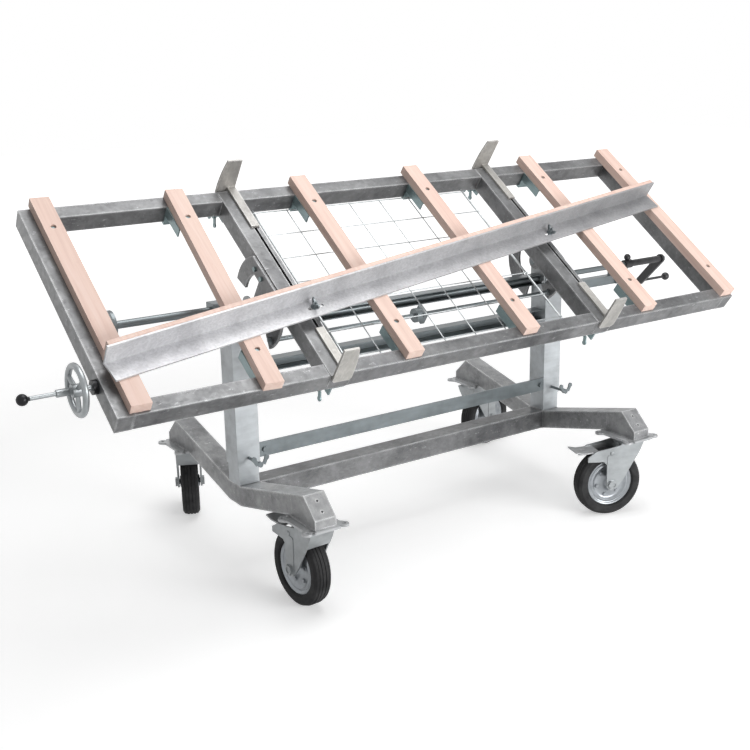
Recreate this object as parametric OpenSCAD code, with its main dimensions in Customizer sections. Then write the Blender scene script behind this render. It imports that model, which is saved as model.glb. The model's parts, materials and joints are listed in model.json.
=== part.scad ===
/* [Table] */
// Length of the table frame
table_l = 2000; // [1800:10:2200]
// Depth of the table frame, measured up its slope
table_w = 677; // [640:1:720]
// Width of the table rails
rail_w = 40; // [30:1:50]
// Height of the table rails
rail_h = 50; // [44:1:60]
// Tilt of the table as drawn
tilt = 35; // [20:1:50]
// Height of the tilt axis above the floor
pivot_z = 708; // [690:1:740]
// Distance from the tilt axis up to the rail tops
pivot_drop = 93; // [88:1:100]
// Distance of the tilt axis behind the middle of the table
pivot_shift = 6; // [0:1:10]
// Width of the two cross rails
cross_w = 60; // [52:1:64]
// Middle of the left cross rail
cross_left_x = -432; // [-440:1:-425]
// Middle of the right cross rail
cross_right_x = 457; // [450:1:458]
// Outer radius of the tilt quadrants
quadrant_r = 123; // [115:1:127]

/* [Battens] */
// Width of a wooden batten
batten_w = 49; // [40:1:56]
// Thickness of a wooden batten
batten_t = 25; // [20:1:32]
// Length of a wooden batten
batten_l = 682; // [670:1:690]

/* [Stop and hooks] */
// Leg of the stop angle
stop_leg = 58; // [50:1:66]
// Thickness of the stop angle
stop_t = 5; // [4:0.5:6]
// How far the stop angle ends inside each end of the table
stop_inset = 7.5; // [2:0.5:50]
// Turn of the stop angle on the table
stop_turn = 9; // [7:0.5:10]
// Width of a hook
hook_w = 55; // [48:1:60]
// Distance of a front hook's blade in front of the table
front_reach = 5.5; // [5:0.5:40]
// Distance of a back hook's blade behind the table
back_reach = 12.5; // [5:0.5:40]
// Thickness of a hook
hook_t = 6; // [5:0.5:8]
// Height of a hook above its bend
hook_h = 95; // [80:1:120]

/* [Columns and lift] */
// Distance of a column from the middle of the trolley
column_x = 537; // [534:1:545]
// Width of the fixed inner posts
post_w = 60; // [56:1:62]
// Wall of the posts and sleeves
column_wall = 2.7; // [2.4:0.1:3]
// Gap between a post and its sleeve, each side
sleeve_gap = 0.3; // [0.2:0.1:0.5]
// Height of the sleeves' lower ends
sleeve_z = 285; // [280:1:300]
// Radius of the lifting spindles
spindle_r = 10; // [8:0.5:11]
// Height of the cross shaft
shaft_z = 652; // [648:1:654]
// Radius of the cross shaft
shaft_r = 8.5; // [7:0.5:9]
// Height of the brace bar
brace_z = 322; // [318:1:330]
// Length of the crank arm
crank_r = 122; // [110:1:135]

/* [Base] */
// Width of the base tubes
base_w = 60; // [54:1:60]
// Height of the base tubes
base_h = 56; // [50:1:60]
// Underside of the middle base beam
base_z = 177; // [170:1:185]
// Rise of the legs towards their ends, in degrees
leg_rise = 13.8; // [12:0.1:15]
// Distance of a caster's swivel axis from the column line
seat_y = 355; // [350:1:370]
// Underside of the caster seats
seat_z = 240; // [240:1:240]

/* [Casters] */
// Diameter of the wheels
wheel_d = 200; // [194:1:200]
// Width of the tyres
tyre_w = 50; // [40:1:52]
// Diameter of the steel wheel discs
disc_d = 140; // [130:1:146]
// Distance of the axle behind the swivel axis
trail = 58; // [52:1:62]
// Radius of the wheel axles
axle_r = 8; // [6:0.5:10]

/* [Hidden] */

// Colours
zinc = "silver";
galvanised = "darkgray";
wood = "burlywood";
rubber = "dimgray";
black = "black";

// General
eps = 0.01;
wall = 3;
fine = 48;
run_gap = 0.1;
seat_gap = 0.3;

// Table, in its own frame: X along it, V up the slope and W square to it, from the tilt axis
rail_top = pivot_drop;
rail_bottom = rail_top - rail_h;
front_v = -table_w / 2 - pivot_shift;
back_v = table_w / 2 - pivot_shift;
batten_top = rail_top + batten_t;
slot_off = 15;
slot_w = 7;
stop_l = table_l - 2 * stop_inset;
cross_wall = 3;
vent_r = 5;
pivot_r = 10;

// Battens, from the left: middle, turn and shift up the slope
batten_x = [54.5 - table_l / 2, -609, -214, 175, 629, table_l / 2 - 27];
batten_turn = [0, -2.6, 0, 0, 0, 0];
batten_v = [3, -9, 2, 4, 4, 3];
screw_r = 5;
screw_head_r = 6;
sunk = 9;
// A batten's screws, measured along it from its middle
screw_inset = 107;
front_screw = screw_inset - batten_l / 2;
back_screw = batten_l / 2 - screw_inset;

// Columns
sleeve_in = post_w + 2 * sleeve_gap;
sleeve_w = sleeve_in + 2 * column_wall;
sleeve_top = pivot_z - pivot_r - 1;
base_top = base_z + base_h;
post_top = 575;
nut_h = 20;
bevel_r = 20;
bevel_t = 11;
spindle_low = 340;

// Legs
leg_slope = tan(leg_rise);
leg_root = 33;
leg_end = seat_y + 6;
cap_foot = seat_y + 58;
seat_in = seat_y - 72;
lip_h = 24;

// Casters
wheel_r = wheel_d / 2;
plate_x = 130;
plate_y = 138;
plate_t = 6;
fork_top = seat_z - plate_t - seat_gap;
fork_in = tyre_w / 2 + 6;
fork_t = 4;
fork_out = fork_in + fork_t;
pedal_pin = [61, 196];
pedal_pin_r = 4;
caster_yaw = [[93, 161.4], [65, 9]];

// Crank
crank_angle = -46;
crank_y = crank_r * cos(crank_angle);
crank_z = crank_r * sin(crank_angle);

// Shared shapes

module round_x(r, x0, x1, y = 0, z = 0)
    translate([x0, y, z]) rotate([0, 90, 0]) cylinder(h = x1 - x0, r = r, $fn = fine);

module round_y(r, y0, y1, x = 0, z = 0)
    translate([x, y1, z]) rotate([90, 0, 0]) cylinder(h = y1 - y0, r = r, $fn = fine);

module round_z(r, z0, z1, x = 0, y = 0)
    translate([x, y, z0]) cylinder(h = z1 - z0, r = r, $fn = fine);

module block(lo, hi) translate(lo) cube(hi - lo);

// A plate whose outline is drawn in Y and Z, from x0 to x1
module plate_yz(x0, x1) translate([x0, 0, 0]) rotate([90, 0, 90]) linear_extrude(x1 - x0) children();

// A plate whose outline is drawn in X and Z, from y0 to y1
module plate_xz(y0, y1) translate([0, y1, 0]) rotate([90, 0, 0]) linear_extrude(y1 - y0) children();

module hex_head(r, h) cylinder(h = h, r = r, $fn = 6);

// A turned ball whose outline has straight steps
module ball(r) {
    steps = 14;
    rotate_extrude($fn = fine)
        polygon([for (k = [0:steps]) let (a = 180 * k / steps - 90) [r * cos(a), r * sin(a)]]);
}

// Moves from the table's own frame to the trolley's
module on_table() translate([0, 0, pivot_z]) rotate([tilt, 0, 0]) children();

// A wing screw along -Y from the origin: shank, collar and two wings
module wing_screw(shank, r = 4) {
    wing_w = 9;
    wing_h = 20;
    round_y(r, -shank, 0);
    round_y(r + 3.5, -shank - 9, -shank + eps);
    for (side = [-1, 1])
        translate([side * wing_w, -shank - 9, 0])
            rotate([0, side * 28, 0])
                plate_xz(0, 4)
                    union() {
                        translate([0, wing_h / 2]) square([10, wing_h], center = true);
                        translate([0, wing_h]) circle(r = 7, $fn = 24);
                    }
}

// A wing nut standing on the origin, with its wings along Y
module wing_nut() {
    thick = 4;
    cylinder(h = 10, r = 6.5, $fn = fine);
    for (side = [-1, 1])
        plate_yz(-thick / 2, thick / 2)
            polygon([[0, 1], [side * 9, 2], [side * 17, 9], [side * 17, 17], [side * 11, 17],
                [side * 5, 9], [0, 9]]);
}

// Base

module spine_beam() {
    end_x = column_x - base_w / 2;
    color(galvanised)
        difference() {
            block([-end_x, -base_w / 2, base_z], [end_x, base_w / 2, base_top]);
            block([-end_x - eps, -base_w / 2 + wall, base_z + wall],
                [end_x + eps, base_w / 2 - wall, base_top - wall]);
            for (side = [-1, 1])
                round_z(vent_r, base_z - eps, base_z + wall + eps, side * (end_x - 40));
        }
}

function leg_z(y) = base_z + leg_slope * (abs(y) - leg_root);

// Outline of one leg with its wedge, seat and sloping cap, drawn towards +Y
module leg_outline() {
    polygon([
        [0, base_z], [leg_root, base_z], [seat_in, leg_z(seat_in)], [seat_in, seat_z],
        [cap_foot, seat_z], [cap_foot, seat_z + lip_h], [leg_end, leg_z(leg_end) + base_h],
        [leg_root, base_top], [0, base_top]
    ]);
}

module leg_hollow() {
    inner = wall / cos(leg_rise);
    low = base_z + inner;
    high = base_top - inner;
    polygon([
        [0, low], [leg_root, low], [seat_in + 20, leg_z(seat_in + 20) + inner],
        [seat_in + 20, leg_z(seat_in + 20) + base_h - inner], [leg_root, high], [0, high]
    ]);
}

module legs(x) {
    color(galvanised)
        difference() {
            for (turn = [0, 180])
                rotate([0, 0, turn])
                    plate_yz(-base_w / 2 + (turn == 0 ? x : -x), base_w / 2 + (turn == 0 ? x : -x))
                        leg_outline();
            for (turn = [0, 180])
                rotate([0, 0, turn])
                    plate_yz(-base_w / 2 + wall + (turn == 0 ? x : -x),
                        base_w / 2 - wall + (turn == 0 ? x : -x))
                        leg_hollow();
            for (side = [-1, 1]) {
                round_z(vent_r, base_z - eps, base_z + 4 * wall, x, side * (leg_root - 12));
                // Two screws' holes in each sloping cap
                for (hole = [0.3, 0.72])
                    translate([x, side * (leg_end + hole * (cap_foot - leg_end)),
                        leg_z(leg_end) + base_h - hole * (leg_z(leg_end) + base_h - seat_z - lip_h)])
                        rotate([-side * 42, 0, 0])
                            cylinder(h = 16, r = 3, center = true, $fn = fine);
                // The blind hole over a caster's king pin
                round_z(king_r + 1, seat_z - eps, seat_z + 20, x, side * seat_y);
            }
        }
}

module left_legs() legs(-column_x);
module right_legs() legs(column_x);

// A fixed post with the spindle's nut in its top
module post(x) {
    inner = post_w / 2 - wall;
    color(zinc)
        difference() {
            block([x - post_w / 2, -post_w / 2, base_top], [x + post_w / 2, post_w / 2, post_top]);
            block([x - inner, -inner, base_top - eps], [x + inner, inner, post_top - nut_h]);
            round_z(spindle_r + run_gap, post_top - nut_h - eps, post_top + eps, x, 0);
        }
}

module left_post() post(-column_x);
module right_post() post(column_x);

// Casters

king_r = 6;
king_top = seat_z + 8;

// The four holes in a caster plate's ears, which stay empty because the plates are welded on
ear_dx = 52;
ear_dy = 56;
ear_hole_r = 5.5;

// A caster's top plate with an ear at each corner
module caster_plate() {
    ear = 13;
    reach = [plate_x / 2 - ear, plate_y / 2 - ear];
    low = seat_z - plate_t;
    difference() {
        union() {
            block([-base_w / 2 - 6, -plate_y / 2, low], [base_w / 2 + 6, plate_y / 2, seat_z]);
            block([-reach[0], -reach[1], low], [reach[0], reach[1], seat_z]);
            for (sx = [-1, 1], sy = [-1, 1])
                rotate([0, 0, atan2(sy * reach[1], sx * reach[0])]) {
                    block([0, -ear, low], [norm(reach), ear, seat_z]);
                    round_z(ear, low, seat_z, norm(reach));
                }
        }
        for (sx = [-1, 1], sy = [-1, 1])
            round_z(ear_hole_r, low - eps, seat_z + eps, sx * ear_dx, sy * ear_dy);
        round_z(king_r + run_gap, low - eps, seat_z + eps);
    }
}

module caster_plates() {
    color(zinc)
        for (sx = [-1, 1], sy = [-1, 1])
            translate([sx * column_x, sy * seat_y, 0])
                caster_plate();
}

// Places one caster part; front casters have sy -1, right ones sx 1
module at_caster(sx, sy)
    translate([sx * column_x, sy * seat_y, 0])
        rotate([0, 0, caster_yaw[(sy + 1) / 2][(sx + 1) / 2]])
            children();

module fork_side()
    polygon([
        [-38, fork_top - 14], [-30, 200], [22, 112], [44, wheel_r - 14], [60, wheel_r - 20],
        [76, wheel_r - 8], [74, 158], [86, 172], [136, 176], [136, 190], [110, 206],
        [66, 212], [25, fork_top - 14]
    ]);

module fork() {
    crown_low = fork_top - 16;
    color(zinc) {
        difference() {
            union() {
                for (side = [-1, 1])
                    plate_xz(side > 0 ? fork_in : -fork_out, side > 0 ? fork_out : -fork_in)
                        fork_side();
                block([-38, -fork_out, crown_low], [32, fork_out, crown_low + 4]);
                round_z(38, crown_low + eps, fork_top);
                round_z(king_r, crown_low + eps, king_top);
                // The curved shield between the fork's sides
                plate_xz(-fork_out, fork_out)
                    polygon([[-38, crown_low + 2], [-30, 200], [-18, 178], [-14, 180], [-26, 202],
                        [-32, crown_low + 2]]);
            }
            for (side = [-1, 1])
                round_y(pedal_pin_r + run_gap, side * (fork_in + fork_t / 2) - fork_t,
                    side * (fork_in + fork_t / 2) + fork_t, pedal_pin[0], pedal_pin[1]);
            round_y(axle_r, -fork_out - eps, fork_out + eps, trail, wheel_r);
        }
        round_y(axle_r, -fork_out - 6, fork_out + 6, trail, wheel_r);
        for (side = [-1, 1])
            translate([trail, side * (fork_out + 4) + 4, wheel_r])
                rotate([90, 0, 0])
                    difference() {
                        hex_head(14, 8);
                        translate([0, 0, -eps]) cylinder(h = 9, r = axle_r, $fn = fine);
                    }
    }
}

hub_half = tyre_w / 2 + 4;

module wheel_disc() {
    rim_half = tyre_w / 2 - 5;
    disc_r = disc_d / 2;
    color(zinc)
        translate([trail, 0, wheel_r])
            rotate([90, 0, 0])
                rotate_extrude($fn = 96)
                    polygon([
                        [axle_r + run_gap, -hub_half], [20, -hub_half], [24, -rim_half + 3],
                        [34, -rim_half + 8], [50, -rim_half + 8], [58, -rim_half + 2],
                        [64, -rim_half], [disc_r, -rim_half], [disc_r, rim_half],
                        [64, rim_half], [58, rim_half - 2], [50, rim_half - 8],
                        [34, rim_half - 8], [24, rim_half - 3], [20, hub_half],
                        [axle_r + run_gap, hub_half]
                    ]);
}

module tyre() {
    half = tyre_w / 2;
    disc_r = disc_d / 2;
    groove = 2;
    color(rubber)
        translate([trail, 0, wheel_r])
            rotate([90, 0, 0])
                rotate_extrude($fn = 96)
                    difference() {
                        polygon([
                            [disc_r, -half + 5], [disc_r + 4, -half + 1], [disc_r + 12, -half],
                            [wheel_r - 10, -half], [wheel_r - 3, -half + 5], [wheel_r, -half + 14],
                            [wheel_r, half - 14], [wheel_r - 3, half - 5], [wheel_r - 10, half],
                            [disc_r + 12, half], [disc_r + 4, half - 1], [disc_r, half - 5]
                        ]);
                        for (place = [-14, -5, 5, 14])
                            translate([wheel_r - groove, place - groove / 2])
                                square([groove + 1, groove]);
                    }
}

module brake_pedal() {
    cheek_in = tyre_w / 2 + 2;
    cheek_t = 2.5;
    cheek_out = cheek_in + cheek_t;
    hole_x = 140;
    hole_r = 7;
    color(zinc) {
        difference() {
            union() {
                for (side = [-1, 1])
                    plate_xz(side > 0 ? cheek_in : -cheek_out, side > 0 ? cheek_out : -cheek_in)
                        polygon([[50, 188], [70, 186], [126, 200], [126, 203.5], [66, 206],
                            [50, 204]]);
                plate_xz(-cheek_out, cheek_out)
                    polygon([[98, 199.5], [150, 199.5], [173, 205], [171, 209], [149, 203.5],
                        [98, 203.5]]);
            }
            round_z(hole_r, pedal_pin[1] - 6, pedal_pin[1] + 20, hole_x, 0);
        }
        for (side = [-1, 1])
            round_y(pedal_pin_r, side > 0 ? cheek_in : -fork_out - 2,
                side > 0 ? fork_out + 2 : -cheek_in, pedal_pin[0], pedal_pin[1]);
    }
}

module front_left_fork() at_caster(-1, -1) fork();
module front_left_wheel_disc() at_caster(-1, -1) wheel_disc();
module front_left_tyre() at_caster(-1, -1) tyre();
module front_left_brake_pedal() at_caster(-1, -1) brake_pedal();
module front_right_fork() at_caster(1, -1) fork();
module front_right_wheel_disc() at_caster(1, -1) wheel_disc();
module front_right_tyre() at_caster(1, -1) tyre();
module front_right_brake_pedal() at_caster(1, -1) brake_pedal();
module back_left_fork() at_caster(-1, 1) fork();
module back_left_wheel_disc() at_caster(-1, 1) wheel_disc();
module back_left_tyre() at_caster(-1, 1) tyre();
module back_left_brake_pedal() at_caster(-1, 1) brake_pedal();
module back_right_fork() at_caster(1, 1) fork();
module back_right_wheel_disc() at_caster(1, 1) wheel_disc();
module back_right_tyre() at_caster(1, 1) tyre();
module back_right_brake_pedal() at_caster(1, 1) brake_pedal();

// Lift

clamp_z = sleeve_z + 22;

brace_t = 6;
brace_h = 40;
brace_back = brace_t - sleeve_w / 2;
brace_bolt_r = 4;
brace_bolt_off = 15;
lug_l = 30;
lug_h = 32;
lug_t = 5;

module sleeve(x) {
    side = sign(x);
    half = sleeve_w / 2;
    inner = sleeve_in / 2;
    color(zinc)
        difference() {
            union() {
                block([x - half, -half, sleeve_z], [x + half, half, sleeve_top]);
                // The lug that the brace bar is bolted to
                block([min(x, x - side * (half + lug_l)), brace_back, brace_z - lug_h / 2],
                    [max(x, x - side * (half + lug_l)), brace_back + lug_t, brace_z + lug_h / 2]);
            }
            block([x - inner, -inner, sleeve_z - eps], [x + inner, inner, sleeve_top + eps]);
            round_y(brace_bolt_r + run_gap, brace_back - eps, brace_back + lug_t + eps,
                x - side * (half + brace_bolt_off), brace_z);
            // The cross shaft passes through the sleeve's sides
            round_x(shaft_r + 2, x - half - eps, x + half + eps, 0, shaft_z);
            round_y(4.5, -half - eps, -inner + 1, x, clamp_z);
        }
}

module left_sleeve() sleeve(-column_x);
module right_sleeve() sleeve(column_x);

// A flat bar between the sleeves, flush with their fronts
module brace_bar() {
    end_x = column_x - sleeve_w / 2;
    color(zinc)
        difference() {
            block([-end_x, brace_back - brace_t, brace_z - brace_h / 2],
                [end_x, brace_back, brace_z + brace_h / 2]);
            for (side = [-1, 1])
                round_y(brace_bolt_r + run_gap, brace_back - brace_t - eps, brace_back + eps,
                    side * (end_x - brace_bolt_off), brace_z);
        }
}

channel_h = 30;
channel_w = 36;
bearing_t = 6;

// A channel between the columns, open to the front, round the cross shaft
module lift_channel() {
    end_x = column_x - sleeve_w / 2 - bearing_t;
    color(zinc)
        difference() {
            block([-end_x, -channel_w / 2, shaft_z - channel_h / 2],
                [end_x, channel_w / 2, shaft_z + channel_h / 2]);
            block([-end_x - eps, -channel_w / 2 - eps, shaft_z - channel_h / 2 + wall],
                [end_x + eps, channel_w / 2 - wall, shaft_z + channel_h / 2 - wall]);
        }
}

tie_z = 542;
tie_h = 32;
tie_w = 40;

// A channel between the columns, below the lift channel and open to the front
module tie_beam() {
    end_x = column_x - sleeve_w / 2;
    color(zinc)
        difference() {
            block([-end_x, -tie_w / 2, tie_z - tie_h / 2], [end_x, tie_w / 2, tie_z + tie_h / 2]);
            block([-end_x - eps, -tie_w / 2 - eps, tie_z - tie_h / 2 + wall],
                [end_x + eps, tie_w / 2 - wall, tie_z + tie_h / 2 - wall]);
        }
}

rod_r = 6;
rod_v = -100;
rod_w = -36;
hub_x = 2;

// The rod between the two quadrants, with its hub and square nut
module tie_rod() {
    color(zinc)
        on_table() {
            round_x(rod_r, quadrant_left - 9, quadrant_right + quadrant_t + 5, rod_v, rod_w);
            for (x = [quadrant_left - 7, quadrant_left + quadrant_t, quadrant_right - 6])
                difference() {
                    translate([x, rod_v, rod_w]) rotate([0, 90, 0]) hex_head(10, 6);
                    round_x(rod_r, x - 1, x + 8, rod_v, rod_w);
                }
            difference() {
                union() {
                    round_x(20, hub_x - 18, hub_x, rod_v, rod_w);
                    block([hub_x, rod_v - 19, rod_w - 19], [hub_x + 14, rod_v + 19, rod_w + 19]);
                }
                round_x(rod_r, hub_x - 19, hub_x + 15, rod_v, rod_w);
            }
        }
}

bracket_low = 612;
bracket_h = 28;
bracket_right = 831;
bracket_plate = 11;

module crank_bracket() {
    left = column_x + sleeve_w / 2;
    half = bracket_h / 2;
    color(zinc)
        difference() {
            union() {
                block([left, -half, bracket_low - half], [bracket_right, half, bracket_low + half]);
                block([bracket_right - bracket_plate, -20, bracket_low - half],
                    [bracket_right, 20, shaft_z + 20]);
            }
            block([left - eps, -half + wall, bracket_low - half + wall],
                [bracket_right - bracket_plate, half - wall, bracket_low + half - wall]);
            round_x(shaft_r + run_gap, bracket_right - bracket_plate - eps, bracket_right + eps,
                0, shaft_z);
        }
}

shaft_end_left = -868;
flange_r = 38;

// The two tilt shafts on the columns' heads, the left one running out to a flange
module pivot_shafts() {
    collar_right = -column_x - sleeve_w / 2 - bearing_t;
    color(zinc) {
        union() {
            round_x(pivot_r, shaft_end_left, quadrant_left + quadrant_t + 12, 0, pivot_z);
            round_x(flange_r, shaft_end_left - 10, shaft_end_left, 0, pivot_z);
        }
        difference() {
            block([collar_right - 32, -22, pivot_z - 22], [collar_right, 22, pivot_z + 20]);
            round_x(pivot_r, collar_right - 34, collar_right + 2, 0, pivot_z);
        }
        round_x(pivot_r, quadrant_right - 12, column_x + sleeve_w / 2 + 10, 0, pivot_z);
    }
}

plate_drop = 76;
bearing_bolt_y = 24;
bearing_bolt_drop = 62;

module bearing_plate(x) {
    half = 30;
    difference() {
        plate_yz(x, x + bearing_t)
            union() {
                translate([0, pivot_z]) circle(r = 24, $fn = fine);
                polygon([[-half, pivot_z - plate_drop], [half, pivot_z - plate_drop],
                    [half, pivot_z - 26], [24, pivot_z], [-24, pivot_z], [-half, pivot_z - 26]]);
            }
        round_x(pivot_r + run_gap, x - eps, x + bearing_t + eps, 0, pivot_z);
        round_x(shaft_r + 2, x - eps, x + bearing_t + eps, 0, shaft_z);
    }
}

// Plates on both sides of each column's head that carry the tilt shafts
module bearing_plates() {
    half = sleeve_w / 2;
    color(zinc)
        for (side = [-1, 1]) {
            bearing_plate(side * column_x - half - bearing_t);
            bearing_plate(side * column_x + half);
            for (bolt_y = [-bearing_bolt_y, bearing_bolt_y])
                translate([side * (column_x - half - bearing_t), bolt_y,
                    pivot_z - bearing_bolt_drop])
                    rotate([0, -side * 90, 0])
                        hex_head(5, 4.5);
        }
}

// Wing screws of the sleeves and the bolts of the brace bar
module sleeve_screws() {
    front = -sleeve_w / 2;
    color(zinc)
        for (side = [-1, 1]) {
            translate([side * column_x, front + 1, clamp_z])
                wing_screw(58);
            translate([side * (column_x - sleeve_w / 2 - brace_bolt_off), front, brace_z]) {
                rotate([90, 0, 0]) hex_head(7.5, 5.5);
                round_y(brace_bolt_r, -eps, brace_t + lug_t + 8);
                translate([0, brace_t + lug_t + 6, 0]) rotate([90, 0, 0]) hex_head(7.5, 6);
            }
        }
}

// Crank and spindles

module bevel() {
    difference() {
        union() {
            cylinder(h = bevel_t, r1 = bevel_r, r2 = bevel_r - bevel_t, $fn = fine);
            translate([0, 0, -6]) cylinder(h = 6 + eps, r = bevel_r, $fn = fine);
        }
        for (tooth = [0:15])
            rotate([0, 0, tooth * 22.5])
                translate([bevel_r + 1.2, 0, -7])
                    cylinder(h = 30, r = 2.6, $fn = 16);
    }
}

crank_sleeve_x = 904;
crank_hub_x = 1040;
crank_arm_t = 9;
collar_w = 32;
collar_r = 14;

// The cross shaft and its two bevel gears, which are bored for it
module cross_shaft() {
    gear_x = column_x - bevel_r - 1;
    color(zinc) {
        round_x(shaft_r, 1 - gear_x - bevel_t, crank_hub_x + crank_arm_t, 0, shaft_z);
        translate([crank_hub_x + crank_arm_t, 0, shaft_z]) rotate([0, 90, 0]) hex_head(12, 7);
        for (side = [-1, 1])
            translate([side * gear_x, 0, shaft_z])
                difference() {
                    rotate([0, side * 90, 0]) bevel();
                    round_x(shaft_r + run_gap, -20, 20);
                }
    }
}

// The crank's sleeve and arm, with a locking collar, its knob and its pin
module crank_arm() {
    sleeve_r = 11;
    hub_r = 15;
    arm_end_r = 13;
    knob_r = 11;
    collar_x = crank_sleeve_x - collar_w / 2;
    color(black)
        difference() {
            union() {
                round_x(sleeve_r, crank_sleeve_x, crank_hub_x, 0, shaft_z);
                round_x(collar_r, crank_sleeve_x - collar_w, crank_sleeve_x, 0, shaft_z);
                round_z(6, shaft_z, shaft_z + collar_r + 4, collar_x);
                translate([collar_x, 0, shaft_z + collar_r + 8]) ball(knob_r);
                round_z(3, shaft_z - collar_r - 12, shaft_z, collar_x);
                plate_yz(crank_hub_x, crank_hub_x + crank_arm_t)
                    hull() {
                        translate([0, shaft_z]) circle(r = hub_r, $fn = 32);
                        translate([crank_y, shaft_z + crank_z]) circle(r = arm_end_r, $fn = 32);
                    }
            }
            round_x(shaft_r, crank_sleeve_x - collar_w - eps, crank_hub_x + crank_arm_t + eps,
                0, shaft_z);
        }
}

module crank_grip() {
    start = crank_hub_x + crank_arm_t;
    grip_l = 121;
    ball_r = 13.5;
    color(black) {
        round_x(4.5, start, start + grip_l, crank_y, shaft_z + crank_z);
        translate([start + grip_l, crank_y, shaft_z + crank_z]) ball(ball_r);
    }
}

module spindle(x) {
    color(zinc)
        difference() {
            union() {
                round_z(spindle_r, spindle_low, shaft_z - bevel_r - 1, x, 0);
                translate([x, 0, shaft_z - bevel_r - 1]) rotate([0, 0, 11.25]) bevel();
            }
            for (turn = [0:11])
                translate([x, 0, spindle_low + 20 + turn * 16])
                    rotate_extrude($fn = fine)
                        translate([spindle_r - 1, 0])
                            square([3, 3]);
        }
}

module left_spindle() spindle(-column_x);
module right_spindle() spindle(column_x);

// Table frame

// The front and back rails, in lengths between the end rails and the cross rails
module long_rails() {
    end_x = table_l / 2 - rail_w;
    stops = [-end_x, cross_left_x - cross_w / 2, cross_left_x + cross_w / 2,
        cross_right_x - cross_w / 2, cross_right_x + cross_w / 2, end_x];
    color(galvanised)
        on_table()
            for (v = [front_v, back_v - rail_w], k = [0, 2, 4])
                difference() {
                    block([stops[k], v, rail_bottom], [stops[k + 1], v + rail_w, rail_top]);
                    block([stops[k] - eps, v + wall, rail_bottom + wall],
                        [stops[k + 1] + eps, v + rail_w - wall, rail_top - wall]);
                }
}

hand_v = front_v + 115.5;
hand_r = 62;
hand_shaft_r = 7;

ledge_w = 40;
ledge_t = 6;

// The left end rail has two ledges that carry the screws of the first batten
module end_rails() {
    color(galvanised)
        on_table()
            for (side = [-1, 1])
                difference() {
                    low = side > 0 ? table_l / 2 - rail_w : -table_l / 2;
                    union() {
                        block([low, front_v, rail_bottom], [low + rail_w, back_v, rail_top]);
                        if (side < 0)
                            for (v = [front_screw, back_screw])
                                block([low + rail_w - wall, batten_v[0] + v - ledge_w / 2,
                                    rail_top - ledge_t], [batten_x[0] + 15,
                                    batten_v[0] + v + ledge_w / 2, rail_top]);
                    }
                    block([low + wall, front_v + wall, rail_bottom + wall],
                        [low + rail_w - wall, back_v - wall, rail_top - wall]);
                    for (v = [front_v + 60, back_v - 60])
                        round_z(vent_r, rail_bottom - eps, rail_bottom + wall + eps,
                            low + rail_w / 2, v);
                    if (side < 0)
                        round_x(hand_shaft_r + run_gap, low - eps, low + rail_w + eps, hand_v,
                            rail_top - rail_h / 2);
                }
}

// Each cross rail is a channel whose narrow slot faces up
module cross_rail(x) {
    half = cross_w / 2;
    difference() {
        block([x - half, front_v, rail_bottom], [x + half, back_v, rail_top]);
        block([x - half + cross_wall, front_v + cross_wall, rail_bottom + cross_wall],
            [x + half - cross_wall, back_v - cross_wall, rail_top - cross_wall]);
        block([x + slot_off - slot_w / 2, front_v - eps, rail_top - cross_wall - eps],
            [x + slot_off + slot_w / 2, back_v + eps, rail_top + eps]);
    }
}

module cross_rails() {
    color(galvanised)
        on_table() {
            cross_rail(cross_left_x);
            cross_rail(cross_right_x);
        }
}

quadrant_t = 8;
quadrant_left = cross_left_x - cross_w / 2 - quadrant_t;
quadrant_right = cross_right_x + cross_w / 2;

module sector(r, from, to)
    polygon(concat([[0, 0]], [for (k = [0:12]) let (a = from + (to - from) * k / 12)
        [r * cos(a), r * sin(a)]]));

// Outline of a quadrant: a curved arm about the tilt axis and the hanger that joins it to the rail
module quadrant_outline(from) {
    band = 48;
    hanger = 27;
    upper = 46;
    lower = 212;
    web = [hanger + 58, rail_h - 12];
    difference() {
        union() {
            intersection() {
                difference() {
                    circle(r = quadrant_r, $fn = 96);
                    circle(r = quadrant_r - band, $fn = 96);
                }
                union() {
                    sector(2 * quadrant_r, from, upper);
                    sector(2 * quadrant_r, 180 - upper, lower);
                }
            }
            circle(r = hanger, $fn = fine);
            translate([-hanger, 0]) square([2 * hanger, rail_top - 4]);
            translate([-web[0], rail_bottom + 8]) square([2 * web[0], web[1]]);
        }
        circle(r = pivot_r + run_gap, $fn = fine);
        translate([rod_v, rod_w]) circle(r = rod_r, $fn = fine);
    }
}

module tilt_quadrants() {
    color(galvanised)
        on_table() {
            plate_yz(quadrant_left, quadrant_left + quadrant_t) quadrant_outline(-11);
            plate_yz(quadrant_right, quadrant_right + quadrant_t) quadrant_outline(-105);
        }
}

mesh_left = cross_left_x + cross_w / 2 + 40;
mesh_right = cross_right_x - cross_w / 2 - 61;
mesh_w = rail_bottom + 5;
wire_r = 1.6;
edge_wire_r = 3;
mesh_front = front_v + 74.5;
mesh_back = back_v - 47.5;

// The wire net below the battens, between the cross rails
module mesh_panel() {
    across = 7;
    along = 6;
    end_v = [front_v + rail_w, back_v - rail_w];
    color(zinc)
        on_table() {
            for (k = [0:across]) {
                x = mesh_left + (mesh_right - mesh_left) * k / across;
                edge = k == 0 || k == across;
                round_y(edge ? edge_wire_r : wire_r, edge ? end_v[0] : mesh_front,
                    edge ? end_v[1] : mesh_back, x, mesh_w);
            }
            for (k = [0:along])
                round_x(wire_r, mesh_left - 4, mesh_right + 4,
                    mesh_front + 5 + (mesh_back - mesh_front - 10) * k / along,
                    mesh_w + 2 * wire_r - 0.4);
        }
}

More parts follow.
